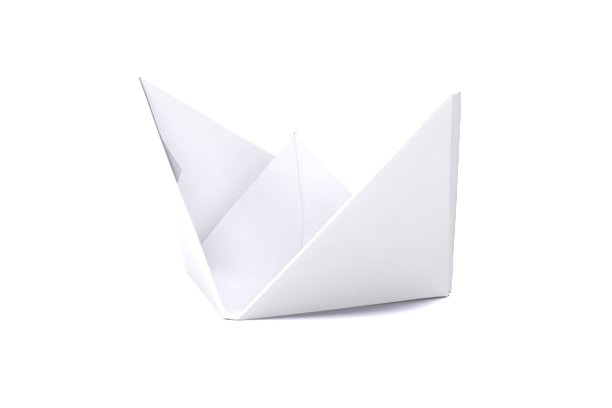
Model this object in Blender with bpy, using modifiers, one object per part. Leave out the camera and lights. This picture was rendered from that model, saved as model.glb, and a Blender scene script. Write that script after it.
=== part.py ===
"""Folded paper boat: one sheet of office paper with its flaps, brims, walls, floor and sail."""
import math

import bmesh
import bpy
from mathutils import Matrix, Vector

NAME = "paper_boat"

# The sheet and the way its layers lie
SHEET_WIDTH = 0.210
SHEET_LENGTH = 0.297
PAPER_THICKNESS = 0.0001
LAYER_PITCH = 0.00045
FACE_GAP = 0.00025
FOLD_RADIUS = 0.0003

# How far the bottom folds miss the rims' middles
FOLD_MISS = 0.0023

# How far the folds are opened
BACK_FLOOR_TILT = math.radians(15.0)
SAIL_LEAN = math.radians(5.5)
NEAR_FLOOR_BEND = 0.025
NEAR_SAIL_BEND = 0.030
FAR_FLOOR_BEND = 0.012
FAR_SAIL_BEND = 0.014

# Where edges and folds don't quite meet
RAW_EDGE_STEP = 0.00065
SEAM_GAP = 0.0006
FOOT_STEP = 0.0015
FOOT_INSET = 0.0014
FOOT_RISE = 0.0007
FOOT_REACH = 0.00005
BOW_STEP = 0.0012
STERN_STEP = 0.0034
BOW_BRIM_SPRING = 0.0038
STERN_BRIM_SPRING = 0.0004

# Widest spacing of the points on the flat sheet
POINT_SPACING = 0.0073

PAPER_COLOUR = (0.80, 0.80, 0.83, 1.0)
PAPER_ROUGHNESS = 0.75

# Lengths that follow from the sheet's format
RIM = SHEET_WIDTH / 2
BRIM = (SHEET_LENGTH - SHEET_WIDTH) / 2
HALF_KEEL = (RIM + FOLD_MISS) / 2
FLOOR_DEPTH = (RIM - FOLD_MISS) / 2

# Handle of the cubic curve that comes closest to a half circle, in radii
HALF_TURN = 4 / 3

ENDS = (-1, 1)
UP = Vector((0, 0, 1))
SMALL = 1e-9


def spaced_marks():
    """Distances from the rim, evenly spaced on both sides of the keel, of the rows of points."""
    corners = sorted({0.0, BRIM, FLOOR_DEPTH, 2 * FLOOR_DEPTH - BRIM, 2 * FLOOR_DEPTH})
    marks = [0.0]
    for start, end in zip(corners, corners[1:]):
        steps = math.ceil((end - start) / POINT_SPACING - SMALL)
        marks += [start + (end - start) * step / steps for step in range(1, steps + 1)]
    return [*marks, RIM]


def nearest_mark(length):
    return min(range(len(MARKS)), key=lambda mark: abs(MARKS[mark] - length))


MARKS = spaced_marks()
LAST = len(MARKS) - 1
BRIM_ROW = nearest_mark(BRIM)
KEEL_ROW = nearest_mark(FLOOR_DEPTH)


def flat_place(column, row):
    """Distances on the flat sheet from the middle line and from the rim."""
    return RIM - MARKS[LAST - abs(column)], MARKS[row]


def on_bottom_fold(column, row):
    return abs(column) == row + 1 and row <= KEEL_ROW


def depth(layer):
    """Distance of a layer's middle from the boat's outer faces, towards the inside of the hull."""
    return FACE_GAP + layer * LAYER_PITCH


def turn_radius(first, second):
    """Radius of a fold that brings one layer back on another."""
    return abs(second - first) * LAYER_PITCH / 2


def mitre(normals):
    """Vector to the point one unit in from each of one, two or three faces."""
    if len(normals) == 1:
        return normals[0]
    if len(normals) == 2:
        return (normals[0] + normals[1]) / (1 + normals[0].dot(normals[1]))
    return Matrix(normals).inverted() @ Vector((1, 1, 1))


def face_normal(corners, towards):
    normal = (corners[1] - corners[0]).cross(corners[2] - corners[0]).normalized()
    return normal if normal.dot(towards) > 0 else -normal


def rim_middle(tilt, towards):
    """Where a side's rim meets the end of the floor."""
    return Vector((0, towards * FLOOR_DEPTH * math.cos(tilt), FLOOR_DEPTH * math.sin(tilt)))


def floor_corner(middle, end):
    """Where a bottom fold meets the rim."""
    return middle + Vector((end * FOLD_MISS, 0, 0))


def stem_foot(end):
    return Vector((end * HALF_KEEL, 0, 0))


def stem_tip(end):
    """Top of the bow or stern, square to the two bottom folds that meet at its foot."""
    foot = stem_foot(end)
    near = floor_corner(rim_middle(0, -1), end) - foot
    far = floor_corner(rim_middle(BACK_FLOOR_TILT, 1), end) - foot
    upright = near.cross(far).normalized()
    return foot + upright * math.copysign(FLOOR_DEPTH * math.sqrt(2), upright.z)


class Side:
    """The near or the far side: two walls, half of the floor and one face of the sail.

    A place on it is (x, y): x runs along the rim from its middle, y from the rim to the sail's peak.
    """

    def __init__(self, tilt, towards, floor_bend, sail_bend):
        self.middle = rim_middle(tilt, towards)
        self.peak = Vector((0, -math.sin(SAIL_LEAN), math.cos(SAIL_LEAN))) * HALF_KEEL
        self.floor_bend = floor_bend
        self.sail_bend = sail_bend
        keel = (stem_foot(-1), stem_foot(1))
        self.floor_normal = face_normal((self.middle, *keel), UP)
        self.sail_normal = face_normal((self.peak, *keel), Vector((0, towards, 0)))
        self.corner = {end: floor_corner(self.middle, end) for end in ENDS}
        self.along = {}
        self.inward = {}
        self.wall_normals = {}
        for end in ENDS:
            foot = stem_foot(end)
            corner = self.corner[end]
            self.along[end] = (stem_tip(end) - corner) / (RIM - FOLD_MISS)
            self.inward[end] = (foot - corner) / FLOOR_DEPTH - self.along[end]
            self.wall_normals[end] = face_normal((corner, stem_tip(end), foot), -foot - self.middle)

    def place(self, spot, x, y, inside):
        """Position of (x, y) at a depth inside; spot is its column and row on the flat sheet."""
        column, row = spot
        end = 1 if column >= 0 else -1
        if abs(column) <= row or column == 0:
            return self.place_on_bend(x, y, inside)
        if not on_bottom_fold(column, row):
            base = self.corner[end] + self.along[end] * (abs(x) - FOLD_MISS) + self.inward[end] * y
            return base + self.wall_normals[end] * inside
        normals = [self.floor_normal, self.wall_normals[end]]
        if row == KEEL_ROW:
            normals.append(self.sail_normal)
        base = Vector((x, 0, 0)) + self.middle * (1 - y / FLOOR_DEPTH)
        return base + mitre(normals) * inside

    def place_on_bend(self, x, y, inside):
        """Floor, soft bend and sail, which follow one curve in each plane across the keel."""
        taper = max(0.0, 1 - abs(x) / HALF_KEEL)
        start = self.floor_bend * taper
        end = self.sail_bend * taper
        rise = y - FLOOR_DEPTH
        floor_way = -self.middle / FLOOR_DEPTH
        sail_way = self.peak / HALF_KEEL
        across = Vector((x, 0, 0))
        if rise <= -start:
            return across + floor_way * rise + self.floor_normal * inside
        if rise >= end:
            return across + sail_way * rise + self.sail_normal * inside
        turn = (rise + start) / (start + end)
        base = sail_way * end * turn ** 2 - floor_way * start * (1 - turn) ** 2
        slope = sail_way * end * turn + floor_way * start * (1 - turn)
        normal = slope.cross(Vector((1, 0, 0))).normalized()
        if normal.dot(self.floor_normal + self.sail_normal) < 0:
            normal.negate()
        return across + base + normal * inside


class Panel:
    """A flat region of the sheet, laid on one side of the boat at its own layer.

    Its edges are drawn in by rim, seam and stem, so that folds of their own radius can join it.
    """

    def __init__(self, paper, side, layer, spots, rim, stem, seam=0.0, spring=0.0):
        self.paper = paper
        self.side = side
        self.layer = layer
        self.spots = set(spots)
        self.rim = rim
        self.stem = stem
        self.seam = seam
        self.spring = spring
        self.points = {spot: paper.verts.new(self.position(spot)) for spot in sorted(self.spots)}
        self.fill()

    def drawn_in(self, spot):
        """Place of a point once the panel's edges are drawn in."""
        column, row = spot
        x, y = flat_place(column, row)
        end = 1 if column >= 0 else -1
        if row == 0:
            y = self.rim
        if row == 0 and on_bottom_fold(column, row):
            x += self.rim
        if column == 0:
            x = abs(self.seam)
            end = math.copysign(1, self.seam)
        inset = FOOT_INSET if row == KEEL_ROW else self.stem(end, row)
        slant = inset * math.sqrt(2)
        if row == LAST:
            y = RIM - x - slant
        elif abs(column) == LAST - row == LAST:
            x = RIM - y - slant
        elif abs(column) == LAST - row:
            x -= slant / 2
            y -= slant / 2
        elif row == LAST - 1:
            y -= slant / 2
        return end * x, y

    def position(self, spot, step=(0.0, 0.0)):
        x, y = self.drawn_in(spot)
        inside = depth(self.layer) + self.spring * (RIM - abs(x) - y) / BRIM
        return self.side.place(spot, x + step[0], y + step[1], inside)

    def outward(self, spot, way):
        """Direction on the boat of a direction on the flat panel; at the stem's foot, on the sail."""
        if spot[1] == KEEL_ROW and on_bottom_fold(*spot):
            return (Vector((way[0], 0, 0)) + self.side.peak * way[1] / HALF_KEEL).normalized()
        step = (way[0] * FOLD_RADIUS, way[1] * FOLD_RADIUS)
        return (self.position(spot, step) - self.position(spot)).normalized()

    def fill(self):
        """Two triangles in each cell, split along the way that a fold takes through it."""
        for column, row in sorted(self.spots):
            left = column < 0
            creased = on_bottom_fold(column + 1 if left else column, row)
            low_left = (column, row)
            low_right = (column + 1, row)
            top_left = (column, row + 1)
            top_right = (column + 1, row + 1)
            if creased == left:
                triangles = ((low_left, low_right, top_left), (low_right, top_right, top_left))
            else:
                triangles = ((low_left, low_right, top_right), (low_left, top_right, top_left))
            for triangle in triangles:
                if self.spots.issuperset(triangle):
                    self.paper.faces.new([self.points[spot] for spot in triangle])


def curve_point(points, along):
    """Point on the cubic curve through the first and last of four points."""
    back = 1 - along
    weights = (back ** 3, 3 * back ** 2 * along, 3 * back * along ** 2, along ** 3)
    return sum((point * weight for point, weight in zip(points, weights)), Vector())


def fold(paper, first, second, spots, way, reach, foot_reach=FOOT_REACH):
    """Strip of paper that turns round from one panel's edge to the other's."""
    rows = []
    for spot in spots:
        lead = foot_reach if spot[1] == KEEL_ROW else reach
        start = first.points[spot]
        end = second.points[spot]
        controls = (
            start.co,
            start.co + first.outward(spot, way) * lead,
            end.co + second.outward(spot, way) * lead,
            end.co,
        )
        turns = [paper.verts.new(curve_point(controls, step / 3)) for step in (1, 2)]
        rows.append([start, *turns, end])
    for row, following in zip(rows, rows[1:]):
        for step in range(3):
            corner = row[step]
            opposite = following[step + 1]
            paper.faces.new((corner, row[step + 1], opposite))
            paper.faces.new((corner, opposite, following[step]))


def triangle_spots(hand):
    """Points of a whole side, or of its right or left half."""
    spots = []
    for row in range(LAST + 1):
        width = LAST - row
        first = 0 if hand == 1 else -width
        last = 0 if hand == -1 else width
        spots += [(column, row) for column in range(first, last + 1)]
    return spots


def brim_spots():
    return [(column, row) for column, row in triangle_spots(0) if row <= BRIM_ROW]


def brim_end_spots(end):
    """Points of the brim's end past the stem, as it lies on the other side of the boat."""
    inner = LAST - BRIM_ROW
    return [(column, row) for column, row in triangle_spots(end) if abs(column) >= inner]


def stem_spots(end, rows):
    return [(end * (LAST - row), row) for row in rows]


def rim_spots():
    return [(column, 0) for column in range(-LAST, LAST + 1)]


def from_stem(end):
    """Way that a fold turns square to the stem and to the sail's edge."""
    return (end * math.sqrt(0.5), math.sqrt(0.5))


def from_seam(end):
    return (-end, 0)


FROM_RIM = (0, -1)


def tucked_edge(end, row):
    """How far the folded edge of the inner flap lies in from the stem and the sail's edge."""
    tip_step = STERN_STEP if end == 1 else BOW_STEP
    below_foot = max(0.0, 1 - MARKS[row] / FLOOR_DEPTH)
    return FOOT_STEP + (tip_step - FOOT_STEP) * below_foot + turn_radius(0, 1)


def round_layers(count):
    """An edge drawn in evenly, so that its fold passes round other layers of the wall it turns to."""
    return lambda end, row: depth(count) + FOLD_RADIUS


def fold_sheet(paper):
    """Lays out the sheet's panels on the boat, then joins them with their folds."""
    near = Side(0, -1, NEAR_FLOOR_BEND, NEAR_SAIL_BEND)
    far = Side(BACK_FLOOR_TILT, 1, FAR_FLOOR_BEND, FAR_SAIL_BEND)
    whole = triangle_spots(0)
    front_turn = turn_radius(0, 3)
    back_turn = turn_radius(0, 2)
    flap_turn = turn_radius(0, 1)

    front = Panel(paper, near, 0, whole, front_turn, tucked_edge)
    back = Panel(paper, far, 0, whole, back_turn, round_layers(2))
    front_brim = Panel(paper, near, 3, brim_spots(), front_turn, round_layers(1))
    back_brim = Panel(paper, far, 2, brim_spots(), back_turn, round_layers(4))
    fold(paper, front, front_brim, rim_spots(), FROM_RIM, front_turn * HALF_TURN)
    fold(paper, back, back_brim, rim_spots(), FROM_RIM, back_turn * HALF_TURN)

    for end in ENDS:
        half = triangle_spots(end)
        seam = end * (SEAM_GAP + LAYER_PITCH) / 2
        flap = Panel(paper, near, 1, half, RAW_EDGE_STEP, tucked_edge, seam)
        cover = Panel(paper, near, 2, half, RAW_EDGE_STEP, round_layers(0), seam)
        stem = stem_spots(end, range(LAST + 1))
        middle = [(0, row) for row in range(LAST + 1)]
        fold(paper, front, flap, stem, from_stem(end), flap_turn * HALF_TURN)
        fold(paper, cover, back, stem, from_stem(end), FOLD_RADIUS, FOOT_RISE)
        fold(paper, flap, cover, middle, from_seam(end), flap_turn * HALF_TURN)

        brim_stem = stem_spots(end, range(BRIM_ROW + 1))
        ends = brim_end_spots(end)
        spring = BOW_BRIM_SPRING if end == -1 else STERN_BRIM_SPRING
        front_end = Panel(paper, far, 1, ends, RAW_EDGE_STEP, round_layers(3))
        back_end = Panel(paper, near, 4, ends, RAW_EDGE_STEP, round_layers(2), spring=spring)
        fold(paper, front_brim, front_end, brim_stem, from_stem(end), FOLD_RADIUS)
        fold(paper, back_brim, back_end, brim_stem, from_stem(end), FOLD_RADIUS)


def stand_on_ground(paper):
    """Puts the middle of the footprint at the origin and the floor's underside at zero."""
    lows = [min(vertex.co[axis] for vertex in paper.verts) for axis in range(3)]
    highs = [max(vertex.co[axis] for vertex in paper.verts) for axis in range(3)]
    shift = Vector(((lows[0] + highs[0]) / -2, (lows[1] + highs[1]) / -2, PAPER_THICKNESS / 2 - FACE_GAP))
    bmesh.ops.translate(paper, verts=paper.verts, vec=shift)


def paper_material():
    material = bpy.data.materials.new("office_paper")
    material.use_nodes = True
    shader = material.node_tree.nodes["Principled BSDF"]
    shader.inputs["Base Color"].default_value = PAPER_COLOUR
    shader.inputs["Roughness"].default_value = PAPER_ROUGHNESS
    shader.inputs["Metallic"].default_value = 0.0
    return material


def make_boat(collection):
    paper = bmesh.new()
    fold_sheet(paper)
    stand_on_ground(paper)
    bmesh.ops.recalc_face_normals(paper, faces=paper.faces)
    mesh = bpy.data.meshes.new(NAME)
    paper.to_mesh(mesh)
    paper.free()
    mesh.materials.append(paper_material())
    boat = bpy.data.objects.new(NAME, mesh)
    collection.objects.link(boat)
    shell = boat.modifiers.new("Paper thickness", "SOLIDIFY")
    shell.thickness = PAPER_THICKNESS
    shell.offset = 0.0
    shell.use_quality_normals = True
    shell.use_rim = True
    return boat


def main():
    for thing in list(bpy.data.objects):
        bpy.data.objects.remove(thing)
    collection = bpy.data.collections.new("folded_paper_boat")
    bpy.context.scene.collection.children.link(collection)
    make_boat(collection)


main()
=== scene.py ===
"""Folded paper boat: one sheet of white office paper, folded and opened, on a plain white table."""
import math

import bmesh
import bpy
from bpy.props import FloatProperty, FloatVectorProperty, IntProperty, PointerProperty
from mathutils import Matrix, Vector


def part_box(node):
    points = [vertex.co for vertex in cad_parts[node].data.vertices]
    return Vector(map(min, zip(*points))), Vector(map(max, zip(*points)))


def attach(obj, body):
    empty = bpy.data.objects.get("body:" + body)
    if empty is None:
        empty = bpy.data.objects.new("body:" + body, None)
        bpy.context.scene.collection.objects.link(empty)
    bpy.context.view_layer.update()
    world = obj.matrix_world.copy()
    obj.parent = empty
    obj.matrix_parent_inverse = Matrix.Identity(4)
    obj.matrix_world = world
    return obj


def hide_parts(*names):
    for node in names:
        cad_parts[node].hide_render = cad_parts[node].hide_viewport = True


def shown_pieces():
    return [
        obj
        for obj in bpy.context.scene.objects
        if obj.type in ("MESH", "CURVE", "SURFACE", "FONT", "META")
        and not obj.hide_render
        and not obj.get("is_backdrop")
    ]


bl_info = {
    "name": "Folded Paper Boat",
    "version": (1, 0, 0),
    "blender": (4, 5, 0),
    "location": "View3D > Sidebar > Paper Boat",
    "description": "Folds a sheet of office paper into a boat and sets it on a white table",
    "category": "Object",
}

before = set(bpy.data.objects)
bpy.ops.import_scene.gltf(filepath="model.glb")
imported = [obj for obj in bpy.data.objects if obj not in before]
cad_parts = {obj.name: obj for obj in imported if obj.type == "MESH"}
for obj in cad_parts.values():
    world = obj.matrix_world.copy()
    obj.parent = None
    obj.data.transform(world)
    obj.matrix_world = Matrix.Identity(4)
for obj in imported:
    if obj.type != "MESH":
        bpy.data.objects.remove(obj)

CAD_NODE = "paper_boat"
CAD_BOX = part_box(CAD_NODE)

# The boat's two ends along x and its two sides along y
BOW, STERN = -1, 1
NEAR, FAR = -1, 1
ENDS = (BOW, STERN)

UP = Vector((0, 0, 1))
# Roughly outwards from the near wall and from the far wall at the stern
OUT_NEAR_STERN = Vector((1, -1, 0))
OUT_FAR_STERN = Vector((1, 1, 0))

# The sheet's layers on the near side and on the far side, from the outside in
FRONT, FLAP, COVER, FRONT_BRIM, BACK_END = range(5)
BACK, FRONT_END, BACK_BRIM = range(3)

# Handle of the cubic curve that comes closest to a half circle, in radii
HALF_TURN = 4 / 3

DIAGONAL = math.sqrt(2)

# Part of a step between two rows that is put down to rounding
ROUNDING = 1e-6

# The product of three shares that add up to 1 is at most 1/27, where they are even
EVEN_SHARES = 27

# Part of an edge's inset that is left at the sail's peak
PEAK_INSET = 1 / 4

# Noise strays about a quarter from its middle value, so its waves are made four times as high
NOISE_MIDDLE = (0.5, 0.5, 0.5)
NOISE_GAIN = 4.0
WAVE_DETAIL = 1.0

# The floor stays flat on the table: the waves start at one height and are full at the other
WAVES_START = 0.001
WAVES_FULL = 0.022

# Index of refraction of cellulose, and the octaves of noise in the sheet's clouds and fibres
PAPER_IOR = 1.47
CLOUD_DETAIL = 3.0
FIBRE_DETAIL = 4.0

PLAIN_WHITE = (1.0, 1.0, 1.0, 1.0)

# Width of the picture in pixels and of the sensor in millimetres, and the camera's range in metres
IMAGE_WIDTH = 612
SENSOR_WIDTH = 36.0
NEAREST_SEEN = 0.01
FARTHEST_SEEN = 100.0


def linear(code):
    """Linear colour of an sRGB hex code."""
    values = []
    for start in (1, 3, 5):
        share = int(code[start:start + 2], 16) / 255
        values.append(share / 12.92 if share <= 0.04045 else ((share + 0.055) / 1.055) ** 2.4)
    return (*values, 1.0)


def metres(name, description, default):
    """A length that the user may change."""
    return FloatProperty(
        name=name, description=description, default=default, unit="LENGTH", subtype="DISTANCE", precision=5
    )


def degrees(name, description, default):
    """An angle that the user may change, with its default in degrees."""
    return FloatProperty(
        name=name, description=description, default=math.radians(default), unit="ROTATION", subtype="ANGLE"
    )


def count(name, description, default, least=0):
    return IntProperty(name=name, description=description, default=default, min=least)


def fraction(name, description, default):
    return FloatProperty(
        name=name, description=description, default=default, min=0.0, max=1.0, subtype="FACTOR"
    )


def strength(name, description, default):
    return FloatProperty(name=name, description=description, default=default, min=0.0)


def watts(name, description, default):
    return FloatProperty(name=name, description=description, default=default, min=0.0, unit="POWER")


def hex_colour(name, description, code):
    return FloatVectorProperty(
        name=name, description=description, default=linear(code), size=4, min=0.0, max=1.0, subtype="COLOR"
    )


def location(name, description, default):
    return FloatVectorProperty(name=name, description=description, default=default, unit="LENGTH")


def direction(name, description, default):
    return FloatVectorProperty(name=name, description=description, default=default, subtype="DIRECTION")


class SheetSettings(bpy.types.PropertyGroup):
    """Sizes of the sheet, of its folds and of how far they are opened."""

    width: metres("Sheet width", "Short side of the flat sheet", 0.210)
    length: metres("Sheet length", "Long side of the flat sheet", 0.297)
    thickness: metres("Paper thickness", "Thickness of the paper", 0.0001)
    pitch: metres("Layer pitch", "Distance between the middles of two pressed layers", 0.00045)
    face_gap: metres("Face gap", "Depth of the outermost layer's middle under the outer faces", 0.00025)
    fold_radius: metres("Fold radius", "Radius of a fold that is turned round a stem", 0.0003)
    fold_miss: metres("Fold miss", "How far the bottom folds miss the rims' middles", 0.0023)
    far_tilt: degrees("Far floor tilt", "How far the far half of the floor is raised", 15.0)
    sail_lean: degrees("Sail lean", "How far the sail leans over the near half of the floor", 5.5)
    near_floor_bend: metres("Near floor bend", "Part of the near floor that takes up the bend", 0.025)
    near_sail_bend: metres("Near sail bend", "Part of the sail's near face that takes up the bend", 0.030)
    far_floor_bend: metres("Far floor bend", "Part of the far floor that takes up the bend", 0.012)
    far_sail_bend: metres("Far sail bend", "Part of the sail's far face that takes up the bend", 0.014)
    raw_edge_step: metres("Raw edge step", "How far the cut edges lie below the rims", 0.00065)
    seam_gap: metres("Seam gap", "Gap between the two flaps at the middle of the sail", 0.00016)
    seam_reach: metres("Seam reach", "How far the folds at the sail's seam are rounded", 0.00015)
    foot_step: metres("Foot step", "How far the tucked folds lie in from the stem's foot", 0.0015)
    foot_inset: metres("Foot inset", "How far every layer is drawn in at the stem's foot", 0.0014)
    foot_rise: metres("Foot rise", "How far the outer fold rises at the stem's foot", 0.0007)
    foot_reach: metres("Foot reach", "How far the other folds reach out at the stem's foot", 0.00005)
    bow_step: metres("Bow step", "How far the tucked fold lies in from the bow's tip", 0.0007)
    stern_near: metres("Stern opening, near", "How far in the loose fold starts on the near wall", 0.0031)
    stern_far: metres("Stern opening, far", "How far in the loose fold ends on the far wall", 0.0042)
    stern_gape: metres("Stern gape", "How far the far wall springs out at the stern", 0.0024)
    gape_width: metres("Gape width", "Width of the far wall that springs out at the stern", 0.030)
    draw_width: metres("Drawn-in width", "Width of the wall that is drawn in with its edge", 0.014)
    bow_spring: metres("Bow brim spring", "How far the brim's corner springs off the wall at the bow", 0.0032)
    stern_spring: metres("Stern brim spring", "How far the brim's corner springs off at the stern", 0.0004)
    spring_share: fraction("Sprung share", "Share of the brim's end that springs off the wall", 0.34)
    belly: metres("Wall belly", "How far each wall bulges outwards in its middle", 0.0009)
    dent_along: metres("Dent along the bottom", "Length of the knocked corner along the bottom fold", 0.0075)
    dent_up: metres("Dent up the stem", "Height of the knocked corner up the stern", 0.011)
    dent_depth: metres("Dent depth", "How far the stern's foot is knocked out of the wall's plane", 0.0012)
    lift: metres("Lift", "How far the corners stand off the table round the place that rests on it", 0.0008)
    lift_width: metres("Lift width", "Distance from the resting place over which the floor lifts", 0.075)
    rest_share: fraction("Resting place", "Where along the stern's near bottom fold the boat rests", 0.2)
    swell_height: metres("Swell height", "Height of the soft waves in the paper", 0.0005)
    swell_width: metres("Swell width", "Width of the soft waves in the paper", 0.045)
    swell_seed: count("Swell seed", "Picks the pattern of the soft waves", 4)
    spacing: metres("Point spacing", "Widest spacing of the points on the flat sheet", 0.0045)
    turn_steps: count("Turn steps", "Strips in the round of each fold", 6, least=2)
    sharp_angle: degrees("Crease angle", "Folds sharper than this are shaded as creases", 32.0)


class PaperSettings(bpy.types.PropertyGroup):
    """Finish of the paper."""

    colour: hex_colour("Paper", "Colour of the paper", "#eeeff3")
    cloud_colour: hex_colour("Cloud", "Colour where the paper's fibres lie thinner", "#e9eaef")
    cloud_width: metres("Cloud width", "Width of the clouds seen in the sheet's formation", 0.007)
    fibre_width: metres("Fibre width", "Width of the fibres in the surface", 0.0005)
    fibre_height: metres("Fibre height", "Height of the fibres in the surface", 0.00002)
    roughness: fraction("Roughness", "Roughness of the uncoated surface", 0.78)


class StageSettings(bpy.types.PropertyGroup):
    """Table, light and camera."""

    table_colour: hex_colour("Table", "Colour of the table under the boat", "#afb0bb")
    throw_colour: hex_colour("Thrown light", "Colour of what the table throws on the boat", "#5e5e60")
    table_size: metres("Table size", "Side of the square table", 6.0)
    back_strength: strength("Back window", "Strength of the light from behind on the table", 8.1)
    back_way: direction("Back window way", "Where the light from behind comes from", (0.40, 0.70, 1.25))
    left_strength: strength("Left window", "Strength of the light from the left on the table", 8.0)
    left_way: direction("Left window way", "Where the light from the left comes from", (-1.0, -0.3, 1.1))
    window_spread: degrees("Window spread", "How wide the windows are, seen from the boat", 32.0)
    sky_colour: hex_colour("Sky", "Colour of the even light from all sides", "#f8f7fd")
    sky_strength: strength("Sky strength", "Strength of the even light", 0.42)
    lamp_colour: hex_colour("Lamps", "Colour of the lamps and the windows", "#fffdfb")
    top_power: watts("Top lamp", "Power of the lamp above the boat", 8.8)
    top_place: location("Top place", "Place of the lamp above the boat", (-0.15, 0.2, 1.7))
    front_power: watts("Front lamp", "Power of the lamp in front of the boat", 11.6)
    front_place: location("Front place", "Place of the lamp in front of the boat", (0.66, -0.86, 0.5))
    side_power: watts("Side lamp", "Power of the lamp on the bow's side", 27.0)
    side_place: location("Side place", "Place of the lamp on the bow's side", (-1.5, -0.5, 0.45))
    lamp_size: metres("Lamp size", "Side of each soft lamp", 1.2)
    azimuth: degrees("Azimuth", "How far the camera stands round to the stern's side", 30.988)
    elevation: degrees("Elevation", "How far the camera stands above the table", 11.664)
    roll: degrees("Roll", "How far the camera is tipped to one side", -2.754)
    distance: metres("Distance", "Distance of the camera from the place it is aimed at", 0.5485)
    aim: location("Aim", "Place the camera is aimed at", (-0.00317, 0.00529, 0.0261))
    focal_pixels: FloatProperty(
        name="Focal length", description="Focal length in pixels of the picture", default=1600.0, min=1.0
    )


def end_of(column):
    """End of the boat that a column of points lies towards; the middle one counts as the stern's."""
    return STERN if column >= 0 else BOW


def levelling(share):
    """Share that grows fast at first and levels off at 1."""
    return math.sin(share * math.pi / 2)


class Sheet:
    """The flat sheet's folding lines, and the lattice of points laid on it.

    A point's spot is its column and its row. Columns are counted from the middle line, those
    towards the bow below zero, and rows from the rim, over the keel, to the sail's peak.
    """

    def __init__(self, sizes):
        self.sizes = sizes
        self.rim = sizes.width / 2
        self.brim = (sizes.length - sizes.width) / 2
        self.half_keel = (self.rim + sizes.fold_miss) / 2
        self.floor_depth = (self.rim - sizes.fold_miss) / 2
        self.marks = self.spaced_marks()
        self.last = len(self.marks) - 1
        self.brim_row = self.nearest_mark(self.brim)
        self.keel_row = self.nearest_mark(self.floor_depth)

    def spaced_marks(self):
        """Distances from the rim of the rows of points, even on both sides of the keel."""
        height = 2 * self.floor_depth
        corners = sorted({0.0, self.brim, self.floor_depth, height - self.brim, height})
        marks = [0.0]
        for start, end in zip(corners, corners[1:]):
            steps = math.ceil((end - start) / self.sizes.spacing - ROUNDING)
            marks += [start + (end - start) * step / steps for step in range(1, steps + 1)]
        return [*marks, self.rim]

    def nearest_mark(self, distance):
        return min(range(len(self.marks)), key=lambda mark: abs(self.marks[mark] - distance))

    def flat_place(self, column, row):
        """Distances on the flat sheet from the middle line and from the rim."""
        return self.rim - self.marks[self.last - abs(column)], self.marks[row]

    def on_bottom_fold(self, column, row):
        return abs(column) == row + 1 and row <= self.keel_row

    def depth(self, layer):
        """Distance of a layer's middle from the boat's outer faces, towards the inside of the hull."""
        return self.sizes.face_gap + layer * self.sizes.pitch

    def turn_radius(self, first, second):
        """Radius of a fold that brings one layer back on another."""
        return abs(second - first) * self.sizes.pitch / 2

    def up_stem(self, row):
        """Share of the stem's height at a row: 1 at its tip, 0 from its foot inwards."""
        return max(0.0, 1 - self.marks[row] / self.floor_depth)

    def level_share(self, row):
        """How level with the rim a wall's edge is drawn in: 0 at its foot, 1 from a little above it."""
        above_foot = self.marks[self.keel_row - 1] - self.marks[row] if row < self.keel_row else 0.0
        return min(1.0, above_foot / self.sizes.draw_width)

    def tucked_edge(self, end, row):
        """How far the fold between front and flap lies in from the stem and from the sail's edge."""
        if end == STERN:
            tip_step = self.sizes.stern_near - self.turn_radius(FRONT, FLAP)
            share = levelling(self.up_stem(row))
        else:
            tip_step = self.sizes.bow_step
            share = self.up_stem(row)
        step = self.sizes.foot_step + (tip_step - self.sizes.foot_step) * share
        return step + self.turn_radius(FRONT, FLAP)

    def edge_round_to(self, layer, opening, order=0):
        """Inset of an edge whose fold passes round the stem to a layer on the other side.

        At the stern it grows to the loose fold's opening, and a little more for each fold that
        goes round outside it.
        """
        even = self.depth(layer) + self.sizes.fold_radius
        wide = opening + order * self.sizes.pitch / 2

        def inset(end, row):
            if row == self.last:
                return even * PEAK_INSET
            if end == BOW:
                return even
            return even + max(0.0, wide - even) * levelling(self.up_stem(row))

        return inset

    def side_spots(self, end=None):
        """Spots of a whole side, or of its half towards one end."""
        spots = []
        for row in range(self.last + 1):
            width = self.last - row
            first = 0 if end == STERN else -width
            final = 0 if end == BOW else width
            spots += [(column, row) for column in range(first, final + 1)]
        return spots

    def brim_spots(self):
        return [(column, row) for column, row in self.side_spots() if row <= self.brim_row]

    def brim_end_spots(self, end):
        """Spots of the brim's end past the stem, as it lies on the other side of the boat."""
        inner = self.last - self.brim_row
        return [(column, row) for column, row in self.side_spots(end) if abs(column) >= inner]

    def stem_spots(self, end, last_row):
        return [(end * (self.last - row), row) for row in range(last_row + 1)]

    def seam_spots(self):
        return [(0, row) for row in range(self.last + 1)]

    def rim_spots(self):
        return [(column, 0) for column in range(-self.last, self.last + 1)]


def mitre(normals):
    """Vector to the point one unit in from each of two or three faces."""
    if len(normals) == 2:
        return (normals[0] + normals[1]) / (1 + normals[0].dot(normals[1]))
    return Matrix(normals).inverted() @ Vector((1, 1, 1))


def face_normal(corners, towards):
    normal = (corners[1] - corners[0]).cross(corners[2] - corners[0]).normalized()
    return normal if normal.dot(towards) > 0 else -normal


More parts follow.
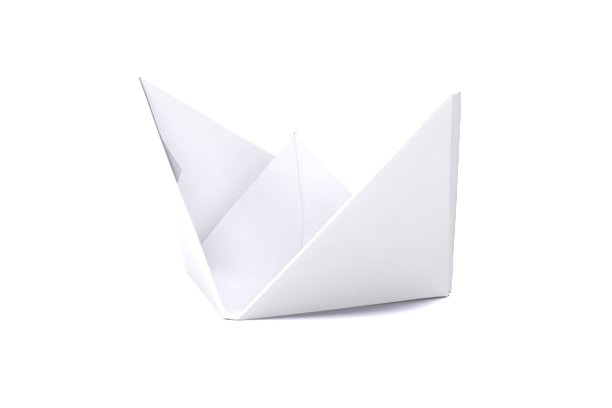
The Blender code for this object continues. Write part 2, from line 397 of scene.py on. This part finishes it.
class Hull:
    """Corners that both sides of the boat share."""

    def __init__(self, sheet):
        self.sheet = sheet
        self.tilts = {NEAR: 0.0, FAR: sheet.sizes.far_tilt}
        lean = sheet.sizes.sail_lean
        self.peak = Vector((0, -math.sin(lean), math.cos(lean))) * sheet.half_keel

    def rim_middle(self, towards):
        """Where a side's rim meets the end of the floor."""
        tilt = self.tilts[towards]
        return Vector((0, towards * math.cos(tilt), math.sin(tilt))) * self.sheet.floor_depth

    def floor_corner(self, towards, end):
        """Where a bottom fold meets the rim."""
        return self.rim_middle(towards) + Vector((end * self.sheet.sizes.fold_miss, 0, 0))

    def stem_foot(self, end):
        return Vector((end * self.sheet.half_keel, 0, 0))

    def stem_tip(self, end):
        """Top of the bow or stern, square to the two bottom folds that meet at its foot."""
        foot = self.stem_foot(end)
        near = self.floor_corner(NEAR, end) - foot
        far = self.floor_corner(FAR, end) - foot
        upright = near.cross(far).normalized()
        return foot + upright * math.copysign(self.sheet.floor_depth * DIAGONAL, upright.z)

    def wall_normal(self, towards, end, way):
        wall = (self.floor_corner(towards, end), self.stem_tip(end), self.stem_foot(end))
        return face_normal(wall, way)


class Side:
    """The near or the far side: two walls, half of the floor and one face of the sail.

    A place on it is (x, y): x runs along the rim from its middle, y from the rim to the sail's peak.
    """

    def __init__(self, hull, towards, floor_bend, sail_bend):
        sheet = hull.sheet
        self.sheet = sheet
        self.middle = hull.rim_middle(towards)
        self.peak = hull.peak
        self.floor_bend = floor_bend
        self.sail_bend = sail_bend
        keel = (hull.stem_foot(BOW), hull.stem_foot(STERN))
        self.floor_normal = face_normal((self.middle, *keel), UP)
        self.sail_normal = face_normal((self.peak, *keel), Vector((0, towards, 0)))
        self.corner = {end: hull.floor_corner(towards, end) for end in ENDS}
        self.rim_run = sheet.rim - sheet.sizes.fold_miss
        # What one metre along the rim and one metre in from it come to on each end's wall
        self.along = {}
        self.inward = {}
        self.wall_normals = {}
        for end in ENDS:
            foot = hull.stem_foot(end)
            corner = self.corner[end]
            self.along[end] = (hull.stem_tip(end) - corner) / self.rim_run
            self.inward[end] = (foot - corner) / sheet.floor_depth - self.along[end]
            self.wall_normals[end] = hull.wall_normal(towards, end, -foot - self.middle)

    def place(self, spot, x, y, inside):
        """Position of (x, y) at a depth inside; its spot says which face or fold it belongs to."""
        column, row = spot
        if abs(column) <= row or column == 0:
            return self.place_on_bend(x, y, inside)
        end = end_of(column)
        if not self.sheet.on_bottom_fold(column, row):
            along = abs(x) - self.sheet.sizes.fold_miss
            base = self.corner[end] + self.along[end] * along + self.inward[end] * y
            return base + self.wall_normals[end] * (inside - self.belly(along, y))
        normals = [self.floor_normal, self.wall_normals[end]]
        if row == self.sheet.keel_row:
            normals.append(self.sail_normal)
        base = Vector((x, 0, 0)) + self.middle * (1 - y / self.sheet.floor_depth)
        return base + mitre(normals) * inside

    def belly(self, along, y):
        """How far the wall bulges outwards at a place: most in its middle, nothing at its edges."""
        to_foot = max(0.0, y / self.sheet.floor_depth)
        to_tip = max(0.0, (along - y) / self.rim_run)
        to_corner = max(0.0, 1 - to_foot - to_tip)
        return self.sheet.sizes.belly * EVEN_SHARES * to_foot * to_tip * to_corner

    def place_on_bend(self, x, y, inside):
        """Floor, soft bend and sail, which follow one curve in each plane across the keel."""
        taper = max(0.0, 1 - abs(x) / self.sheet.half_keel)
        on_floor = self.floor_bend * taper
        on_sail = self.sail_bend * taper
        rise = y - self.sheet.floor_depth
        floor_way = -self.middle / self.sheet.floor_depth
        sail_way = self.peak / self.sheet.half_keel
        across = Vector((x, 0, 0))
        if rise <= -on_floor:
            return across + floor_way * rise + self.floor_normal * inside
        if rise >= on_sail:
            return across + sail_way * rise + self.sail_normal * inside
        turn = (rise + on_floor) / (on_floor + on_sail)
        base = sail_way * on_sail * turn ** 2 - floor_way * on_floor * (1 - turn) ** 2
        slope = sail_way * on_sail * turn + floor_way * on_floor * (1 - turn)
        normal = slope.cross(Vector((1, 0, 0))).normalized()
        if normal.dot(self.floor_normal + self.sail_normal) < 0:
            normal.negate()
        return across + base + normal * inside


class Panel:
    """A flat region of the sheet, laid on one side of the boat at its own layer.

    Its edges are drawn in, so that folds of their own radius can join it: rim is how far below
    the rim it ends, stem gives the inset at an end and a row, and seam is where its half of a
    split side ends by the middle line. Spring is how far its inner corner stands off the wall.
    """

    def __init__(self, paper, side, layer, spots, rim, stem, seam=0.0, spring=0.0):
        self.paper = paper
        self.side = side
        self.sheet = side.sheet
        self.layer = layer
        self.spots = set(spots)
        self.rim = rim
        self.stem = stem
        self.seam = seam
        self.spring = spring
        self.points = {spot: paper.verts.new(self.position(spot)) for spot in sorted(self.spots)}
        self.fill()

    def drawn_in(self, spot):
        """Place of a point once the panel's edges are drawn in."""
        column, row = spot
        sheet = self.sheet
        x, y = sheet.flat_place(column, row)
        end = end_of(column)
        if row == 0:
            y = self.rim
        if row == 0 and sheet.on_bottom_fold(column, row):
            x += self.rim
        if column == 0:
            x = abs(self.seam)
            end = math.copysign(1, self.seam)
        inset = sheet.sizes.foot_inset if row == sheet.keel_row else self.stem(end, row)
        # The stem's edge runs at 45 degrees to the rim, so its inset is longer along the rim
        slant = inset * DIAGONAL
        level = sheet.level_share(row)
        drawn_width = sheet.sizes.draw_width * level
        to_edge = sheet.marks[sheet.last - abs(column)] - sheet.marks[row]
        at_edge = abs(column) == sheet.last - row
        if row == sheet.last:
            y = sheet.rim - x - slant
        elif at_edge and row == 0:
            x = sheet.rim - y - slant
        elif at_edge:
            x -= slant * (1 + level) / 2
            y -= slant * (1 - level) / 2
        elif to_edge < drawn_width:
            x -= slant * (1 - to_edge / drawn_width)
        elif row == sheet.last - 1:
            y -= slant / 2
        return end * x, y

    def position(self, spot, step=(0.0, 0.0)):
        """Position of a spot on the boat, or of a place one step away from it on the panel."""
        x, y = self.drawn_in(spot)
        to_corner = (self.sheet.rim - abs(x) - y) / self.sheet.brim
        sprung = 1 - (1 - to_corner) / self.sheet.sizes.spring_share
        inside = self.sheet.depth(self.layer) + self.spring * max(0.0, sprung)
        return self.side.place(spot, x + step[0], y + step[1], inside)

    def outward(self, spot, way):
        """Direction on the boat of a direction on the flat panel; at the stem's foot, on the sail."""
        if spot[1] == self.sheet.keel_row and self.sheet.on_bottom_fold(*spot):
            return (Vector((way[0], 0, 0)) + self.side.peak * way[1] / self.sheet.half_keel).normalized()
        reach = self.sheet.sizes.fold_radius
        step = (way[0] * reach, way[1] * reach)
        return (self.position(spot, step) - self.position(spot)).normalized()

    def fill(self):
        """Two triangles in each cell, split along the way that a fold takes through it."""
        for column, row in sorted(self.spots):
            left = column < 0
            creased = self.sheet.on_bottom_fold(column + 1 if left else column, row)
            low_left = (column, row)
            low_right = (column + 1, row)
            top_left = (column, row + 1)
            top_right = (column + 1, row + 1)
            if creased == left:
                triangles = ((low_left, low_right, top_left), (low_right, top_right, top_left))
            else:
                triangles = ((low_left, low_right, top_right), (low_left, top_right, top_left))
            for triangle in triangles:
                if self.spots.issuperset(triangle):
                    self.paper.faces.new([self.points[spot] for spot in triangle])


def curve_point(points, along):
    """Point on the cubic curve through the first and last of four points."""
    back = 1 - along
    weights = (back ** 3, 3 * back ** 2 * along, 3 * back * along ** 2, along ** 3)
    return sum((point * weight for point, weight in zip(points, weights)), Vector())


def fold(first, second, spots, way, reach, foot_reach=None):
    """Strip of paper that turns round from one panel's edge to the other's.

    It leaves both edges the given way. Reach is the length of its curve's handles.
    """
    paper = first.paper
    sizes = first.sheet.sizes
    steps = sizes.turn_steps
    if foot_reach is None:
        foot_reach = sizes.foot_reach
    rows = []
    for spot in spots:
        lead = foot_reach if spot[1] == first.sheet.keel_row else reach
        start = first.points[spot]
        end = second.points[spot]
        controls = (
            start.co,
            start.co + first.outward(spot, way) * lead,
            end.co + second.outward(spot, way) * lead,
            end.co,
        )
        turns = [paper.verts.new(curve_point(controls, step / steps)) for step in range(1, steps)]
        rows.append([start, *turns, end])
    for row, following in zip(rows, rows[1:]):
        for step in range(steps):
            corner = row[step]
            opposite = following[step + 1]
            paper.faces.new((corner, row[step + 1], opposite))
            paper.faces.new((corner, opposite, following[step]))


def from_stem(end):
    """Way that a fold turns square to the stem and to the sail's edge."""
    return (end * math.sqrt(0.5), math.sqrt(0.5))


def lay_sheet(paper, hull):
    """Lays out the sheet's panels on the boat, then joins them with their folds."""
    sheet = hull.sheet
    sizes = sheet.sizes
    near = Side(hull, NEAR, sizes.near_floor_bend, sizes.near_sail_bend)
    far = Side(hull, FAR, sizes.far_floor_bend, sizes.far_sail_bend)
    near_open = sizes.stern_near
    far_open = sizes.stern_far
    front_turn = sheet.turn_radius(FRONT, FRONT_BRIM)
    back_turn = sheet.turn_radius(BACK, BACK_BRIM)
    flap_turn = sheet.turn_radius(FRONT, FLAP)
    raw_edge = sizes.raw_edge_step
    round_to = sheet.edge_round_to
    from_rim = (0, -1)

    whole = sheet.side_spots()
    brim = sheet.brim_spots()
    front = Panel(paper, near, FRONT, whole, front_turn, sheet.tucked_edge)
    back = Panel(paper, far, BACK, whole, back_turn, round_to(COVER, far_open))
    front_brim = Panel(paper, near, FRONT_BRIM, brim, front_turn, round_to(FRONT_END, near_open, 1))
    back_brim = Panel(paper, far, BACK_BRIM, brim, back_turn, round_to(BACK_END, far_open, 2))
    fold(front, front_brim, sheet.rim_spots(), from_rim, front_turn * HALF_TURN)
    fold(back, back_brim, sheet.rim_spots(), from_rim, back_turn * HALF_TURN)

    for end in ENDS:
        half = sheet.side_spots(end)
        seam = end * (sizes.seam_gap / 2 + sizes.seam_reach / HALF_TURN)
        flap = Panel(paper, near, FLAP, half, raw_edge, sheet.tucked_edge, seam)
        cover = Panel(paper, near, COVER, half, raw_edge, round_to(BACK, near_open), seam)
        stem = sheet.stem_spots(end, sheet.last)
        fold(front, flap, stem, from_stem(end), flap_turn * HALF_TURN)
        fold(cover, back, stem, from_stem(end), sizes.fold_radius, sizes.foot_rise)
        fold(flap, cover, sheet.seam_spots(), (-end, 0), sizes.seam_reach)

        brim_stem = sheet.stem_spots(end, sheet.brim_row)
        tuck = sheet.brim_end_spots(end)
        spring = sizes.bow_spring if end == BOW else sizes.stern_spring
        front_end = Panel(paper, far, FRONT_END, tuck, raw_edge, round_to(FRONT_BRIM, far_open, 1))
        back_end = Panel(
            paper, near, BACK_END, tuck, raw_edge, round_to(BACK_BRIM, near_open, 2), spring=spring
        )
        fold(front_brim, front_end, brim_stem, from_stem(end), sizes.fold_radius)
        fold(back_brim, back_end, brim_stem, from_stem(end), sizes.fold_radius)


def knock_foot(paper, hull):
    """Knocks the stern's foot out of the near wall's plane, which leaves a small flat facet."""
    sizes = hull.sheet.sizes
    foot = hull.stem_foot(STERN)
    bottom = (hull.floor_corner(NEAR, STERN) - foot).normalized()
    stem = (hull.stem_tip(STERN) - foot).normalized()
    far_bottom = (hull.floor_corner(FAR, STERN) - foot).normalized()
    axes = Matrix((bottom, stem, far_bottom)).transposed().inverted()
    outward = stem.cross(bottom).normalized()
    outward *= math.copysign(sizes.dent_depth, outward.dot(OUT_NEAR_STERN))
    reaches = (sizes.dent_along, sizes.dent_up, sizes.dent_along)
    for vertex in paper.verts:
        away = axes @ (vertex.co - foot)
        share = 1 - sum(abs(part) / reach for part, reach in zip(away, reaches))
        if share > 0:
            vertex.co += outward * share


def loosen_stern(paper, hull):
    """Springs the far wall out at the stern, where the fold round the stem isn't pressed flat."""
    sizes = hull.sheet.sizes
    foot = hull.stem_foot(STERN)
    stem = hull.stem_tip(STERN) - foot
    near_out = hull.wall_normal(NEAR, STERN, OUT_NEAR_STERN)
    far_out = hull.wall_normal(FAR, STERN, OUT_FAR_STERN)
    for vertex in paper.verts:
        away = vertex.co - foot
        height = away.dot(stem) / stem.length_squared
        off_far = 1 + min(0.0, away.dot(far_out)) / sizes.stern_near
        off_near = 1 + min(0.0, away.dot(near_out)) / sizes.gape_width
        if height > 0 and off_far > 0 and off_near > 0:
            spring = levelling(min(1.0, height)) * off_far * off_near
            vertex.co += far_out * sizes.stern_gape * spring


def settle(paper, hull):
    """Lifts the sheet round the place on a bottom fold that it rests on."""
    sizes = hull.sheet.sizes
    corner = hull.floor_corner(NEAR, STERN)
    rest = corner.lerp(hull.stem_foot(STERN), sizes.rest_share)
    for vertex in paper.verts:
        away = (vertex.co - rest).to_2d().length / sizes.lift_width
        vertex.co.z += sizes.lift * min(1.0, away) ** 2


def stand_on_table(paper, sizes):
    """Puts the sheet where the part has it: its near rim at the box's face, its floor on the table."""
    half_thick = sizes.thickness / 2
    nearest = min(vertex.co.y for vertex in paper.verts)
    move = (0, CAD_BOX[0].y + half_thick - nearest, half_thick - sizes.face_gap)
    bmesh.ops.translate(paper, verts=paper.verts, vec=move)


def add_node(tree, kind, settings=None, sockets=None):
    """Adds a node, with its settings, the values of its sockets and the links into them."""
    node = tree.nodes.new(kind)
    for name, value in (settings or {}).items():
        setattr(node, name, value)
    for name, value in (sockets or {}).items():
        if isinstance(value, bpy.types.NodeSocket):
            tree.links.new(value, node.inputs[name])
        else:
            node.inputs[name].default_value = value
    return node


def office_paper(finish):
    """Uncoated wood-free office paper, pressed but not glazed.

    Seen close it is a matt, faintly bluish white, a little cloudy where fibres lie thinner.
    """
    material = bpy.data.materials.new("uncoated office paper")
    material.use_nodes = True
    tree = material.node_tree
    shader = tree.nodes["Principled BSDF"]
    shader.inputs["Metallic"].default_value = 0.0
    shader.inputs["IOR"].default_value = PAPER_IOR
    shader.inputs["Roughness"].default_value = finish.roughness
    place = add_node(tree, "ShaderNodeTexCoord").outputs["Object"]
    clouds = add_node(
        tree,
        "ShaderNodeTexNoise",
        sockets={"Vector": place, "Scale": 1 / finish.cloud_width, "Detail": CLOUD_DETAIL},
    )
    tint = add_node(
        tree,
        "ShaderNodeMix",
        {"data_type": "RGBA"},
        {"Factor": clouds.outputs["Fac"], "A": finish.cloud_colour, "B": finish.colour},
    )
    tree.links.new(tint.outputs["Result"], shader.inputs["Base Color"])
    # Real fibres are about 0.03 mm wide; they are drawn coarser so that their tooth can show at all
    fibres = add_node(
        tree,
        "ShaderNodeTexNoise",
        sockets={"Vector": place, "Scale": 1 / finish.fibre_width, "Detail": FIBRE_DETAIL},
    )
    tooth = add_node(
        tree, "ShaderNodeBump", sockets={"Height": fibres.outputs["Fac"], "Distance": finish.fibre_height}
    )
    tree.links.new(tooth.outputs["Normal"], shader.inputs["Normal"])
    return material


def swell_tree():
    """Geometry Nodes that lay soft waves over the sheet, the same through all its layers."""
    tree = bpy.data.node_groups.new("Paper swell", "GeometryNodeTree")
    tree.interface.new_socket("Geometry", in_out="INPUT", socket_type="NodeSocketGeometry")
    for name, kind in (
        ("Swell Height", "NodeSocketFloat"),
        ("Swell Width", "NodeSocketFloat"),
        ("Seed", "NodeSocketInt"),
        ("Paper", "NodeSocketMaterial"),
    ):
        tree.interface.new_socket(name, in_out="INPUT", socket_type=kind)
    tree.interface.new_socket("Geometry", in_out="OUTPUT", socket_type="NodeSocketGeometry")
    given = add_node(tree, "NodeGroupInput").outputs
    place = add_node(tree, "GeometryNodeInputPosition").outputs[0]
    frequency = add_node(tree, "ShaderNodeMath", {"operation": "DIVIDE"}, {0: 1.0, 1: given["Swell Width"]})
    waves = add_node(
        tree,
        "ShaderNodeTexNoise",
        {"noise_dimensions": "4D"},
        {"Vector": place, "W": given["Seed"], "Scale": frequency.outputs[0], "Detail": WAVE_DETAIL},
    )
    centred = add_node(
        tree,
        "ShaderNodeVectorMath",
        {"operation": "SUBTRACT"},
        {0: waves.outputs["Color"], 1: NOISE_MIDDLE},
    )
    parts = add_node(tree, "ShaderNodeSeparateXYZ", sockets={0: place})
    growth = add_node(
        tree,
        "ShaderNodeMapRange",
        sockets={"Value": parts.outputs["Z"], "From Min": WAVES_START, "From Max": WAVES_FULL},
    )
    height = growth.outputs[0]
    for factor in (given["Swell Height"], NOISE_GAIN):
        product = add_node(tree, "ShaderNodeMath", {"operation": "MULTIPLY"}, {0: height, 1: factor})
        height = product.outputs[0]
    offset = add_node(
        tree, "ShaderNodeVectorMath", {"operation": "SCALE"}, {0: centred.outputs[0], "Scale": height}
    )
    moved = add_node(
        tree, "GeometryNodeSetPosition", sockets={"Geometry": given["Geometry"], "Offset": offset.outputs[0]}
    )
    plain = add_node(tree, "GeometryNodeRealizeInstances", sockets={"Geometry": moved.outputs[0]})
    finished = add_node(
        tree, "GeometryNodeSetMaterial", sockets={"Geometry": plain.outputs[0], "Material": given["Paper"]}
    )
    add_node(tree, "NodeGroupOutput", sockets={"Geometry": finished.outputs[0]})
    return tree


def add_swell(sheet_object, sizes, material):
    tree = swell_tree()
    values = {
        "Swell Height": sizes.swell_height,
        "Swell Width": sizes.swell_width,
        "Seed": sizes.swell_seed,
        "Paper": material,
    }
    swell = sheet_object.modifiers.new("Paper swell", "NODES")
    swell.node_group = tree
    for item in tree.interface.items_tree:
        if item.in_out == "INPUT" and item.name in values:
            swell[item.identifier] = values[item.name]


def add_thickness(sheet_object, thickness):
    shell = sheet_object.modifiers.new("Paper thickness", "SOLIDIFY")
    shell.thickness = thickness
    shell.offset = 0.0
    shell.use_quality_normals = True
    shell.use_rim = True


def bake(source, name):
    """Plain object of what a source object and its modifiers come to."""
    graph = bpy.context.evaluated_depsgraph_get()
    mesh = bpy.data.meshes.new_from_object(source.evaluated_get(graph))
    mesh.name = name
    finished = bpy.data.objects.new(name, mesh)
    bpy.context.scene.collection.objects.link(finished)
    bpy.data.objects.remove(source)
    return finished


class PAPERBOAT_OT_fold_sheet(bpy.types.Operator):
    """Fold the sheet of paper into the boat"""

    bl_idname = "paper_boat.fold_sheet"
    bl_label = "Fold the Sheet"

    def execute(self, context):
        sizes = context.scene.paper_boat_sheet
        hull = Hull(Sheet(sizes))
        paper = bmesh.new()
        lay_sheet(paper, hull)
        knock_foot(paper, hull)
        loosen_stern(paper, hull)
        settle(paper, hull)
        stand_on_table(paper, sizes)
        bmesh.ops.recalc_face_normals(paper, faces=paper.faces)
        mesh = bpy.data.meshes.new("flat layers")
        paper.to_mesh(mesh)
        paper.free()
        layers = bpy.data.objects.new("flat layers", mesh)
        context.scene.collection.objects.link(layers)
        add_swell(layers, sizes, office_paper(context.scene.paper_boat_finish))
        add_thickness(layers, sizes.thickness)
        boat = bake(layers, "folded_sheet")
        boat.data.shade_smooth()
        boat.data.set_sharp_from_angle(angle=sizes.sharp_angle)
        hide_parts(CAD_NODE)
        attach(boat, "root")
        return {"FINISHED"}


def shown_or_cast(tree, shown, cast):
    """Shader that is one thing to the camera, to gloss and through glass, another to other light."""
    path = add_node(tree, "ShaderNodeLightPath").outputs
    seen = path["Is Camera Ray"]
    for name in ("Is Glossy Ray", "Is Transmission Ray"):
        either = add_node(tree, "ShaderNodeMath", {"operation": "MAXIMUM"}, {0: seen, 1: path[name]})
        seen = either.outputs[0]
    return add_node(tree, "ShaderNodeMixShader", sockets={0: seen, 1: cast.outputs[0], 2: shown.outputs[0]})


def table_top(stage):
    """Board painted matt white, so that it shows soft shadows and no gloss.

    It throws less light on the boat than the camera sees on it.
    """
    material = bpy.data.materials.new("matt white table board")
    material.use_nodes = True
    tree = material.node_tree
    tree.nodes.clear()
    shown = add_node(tree, "ShaderNodeBsdfDiffuse", sockets={"Color": stage.table_colour})
    thrown = add_node(tree, "ShaderNodeBsdfDiffuse", sockets={"Color": stage.throw_colour})
    surface = shown_or_cast(tree, shown, thrown)
    add_node(tree, "ShaderNodeOutputMaterial", sockets={"Surface": surface.outputs[0]})
    return material


def make_table(stage):
    half = stage.table_size / 2
    corners = [(-half, -half, 0), (half, -half, 0), (half, half, 0), (-half, half, 0)]
    mesh = bpy.data.meshes.new("table")
    mesh.from_pydata(corners, [], [(0, 1, 2, 3)])
    mesh.materials.append(table_top(stage))
    table = bpy.data.objects.new("table", mesh)
    bpy.context.scene.collection.objects.link(table)
    table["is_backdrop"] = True
    return table


def light_sky(stage):
    """Even light from all sides, in front of a plain white backdrop."""
    world = bpy.data.worlds.new("even sky")
    world.use_nodes = True
    tree = world.node_tree
    tree.nodes.clear()
    backdrop = add_node(tree, "ShaderNodeBackground", sockets={"Color": PLAIN_WHITE, "Strength": 1.0})
    light = add_node(
        tree, "ShaderNodeBackground", sockets={"Color": stage.sky_colour, "Strength": stage.sky_strength}
    )
    surface = shown_or_cast(tree, backdrop, light)
    add_node(tree, "ShaderNodeOutputWorld", sockets={"Surface": surface.outputs[0]})
    bpy.context.scene.world = world


def add_light(stage, name, kind, power, place, lit):
    """Light that shines from a place towards the boat, but only on the objects in lit."""
    light = bpy.data.lights.new(name, kind)
    light.energy = power
    light.color = stage.lamp_colour[:3]
    holder = bpy.data.objects.new(name, light)
    away = Vector(place)
    holder.matrix_world = Matrix.Translation(away) @ away.to_track_quat("Z", "Y").to_matrix().to_4x4()
    receivers = bpy.data.collections.new(name + " lights these")
    for item in lit:
        receivers.objects.link(item)
    holder.light_linking.receiver_collection = receivers
    bpy.context.scene.collection.objects.link(holder)
    return light


def hang_lamp(stage, name, power, place, lit):
    """Soft square lamp aimed at the boat."""
    lamp = add_light(stage, name, "AREA", power, place, lit)
    lamp.shape = "SQUARE"
    lamp.size = stage.lamp_size


def open_window(stage, name, power, way, lit):
    """Light from a wide, distant window."""
    window = add_light(stage, name, "SUN", power, way, lit)
    window.angle = stage.window_spread


def place_camera(stage):
    """Camera at the photograph's angle, aimed at a place in the boat."""
    azimuth = stage.azimuth
    flat = math.cos(stage.elevation)
    back = Vector((math.sin(azimuth) * flat, -math.cos(azimuth) * flat, math.sin(stage.elevation)))
    level = Vector((math.cos(azimuth), math.sin(azimuth), 0))
    upright = back.cross(level)
    right = level * math.cos(stage.roll) + upright * math.sin(stage.roll)
    top = upright * math.cos(stage.roll) - level * math.sin(stage.roll)
    lens = bpy.data.cameras.new("camera")
    lens.sensor_width = SENSOR_WIDTH
    lens.lens = stage.focal_pixels / IMAGE_WIDTH * SENSOR_WIDTH
    lens.clip_start = NEAREST_SEEN
    lens.clip_end = FARTHEST_SEEN
    camera = bpy.data.objects.new("camera", lens)
    turned = Matrix((right, top, back)).transposed().to_4x4()
    place = Vector(stage.aim) + back * stage.distance
    camera.matrix_world = Matrix.Translation(place) @ turned
    bpy.context.scene.collection.objects.link(camera)
    bpy.context.scene.camera = camera


class PAPERBOAT_OT_set_stage(bpy.types.Operator):
    """Set the table, the light and the camera"""

    bl_idname = "paper_boat.set_stage"
    bl_label = "Set the Stage"

    def execute(self, context):
        stage = context.scene.paper_boat_stage
        context.scene.view_settings.view_transform = "Standard"
        table = [make_table(stage)]
        light_sky(stage)
        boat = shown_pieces()
        open_window(stage, "back window", stage.back_strength, stage.back_way, table)
        open_window(stage, "left window", stage.left_strength, stage.left_way, table)
        hang_lamp(stage, "top lamp", stage.top_power, stage.top_place, boat)
        hang_lamp(stage, "front lamp", stage.front_power, stage.front_place, boat)
        hang_lamp(stage, "side lamp", stage.side_power, stage.side_place, boat)
        place_camera(stage)
        return {"FINISHED"}


class PAPERBOAT_PT_boat(bpy.types.Panel):
    """Sizes and colours of the paper boat"""

    bl_idname = "PAPERBOAT_PT_boat"
    bl_label = "Folded Paper Boat"
    bl_space_type = "VIEW_3D"
    bl_region_type = "UI"
    bl_category = "Paper Boat"

    def draw(self, context):
        layout = self.layout
        layout.use_property_split = True
        for group in SETTINGS:
            settings = getattr(context.scene, group)
            box = layout.box()
            for name in settings.__annotations__:
                box.prop(settings, name)
        layout.operator(PAPERBOAT_OT_fold_sheet.bl_idname)
        layout.operator(PAPERBOAT_OT_set_stage.bl_idname)


SETTINGS = {
    "paper_boat_sheet": SheetSettings,
    "paper_boat_finish": PaperSettings,
    "paper_boat_stage": StageSettings,
}

CLASSES = (
    *SETTINGS.values(),
    PAPERBOAT_OT_fold_sheet,
    PAPERBOAT_OT_set_stage,
    PAPERBOAT_PT_boat,
)


def register():
    for item in CLASSES:
        bpy.utils.register_class(item)
    for name, kind in SETTINGS.items():
        setattr(bpy.types.Scene, name, PointerProperty(type=kind))


def unregister():
    for name in SETTINGS:
        delattr(bpy.types.Scene, name)
    for item in reversed(CLASSES):
        bpy.utils.unregister_class(item)


def main():
    """Folds the boat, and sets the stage."""
    register()
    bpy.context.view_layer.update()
    bpy.ops.paper_boat.fold_sheet()
    bpy.ops.paper_boat.set_stage()


if __name__ == "__main__":
    main()
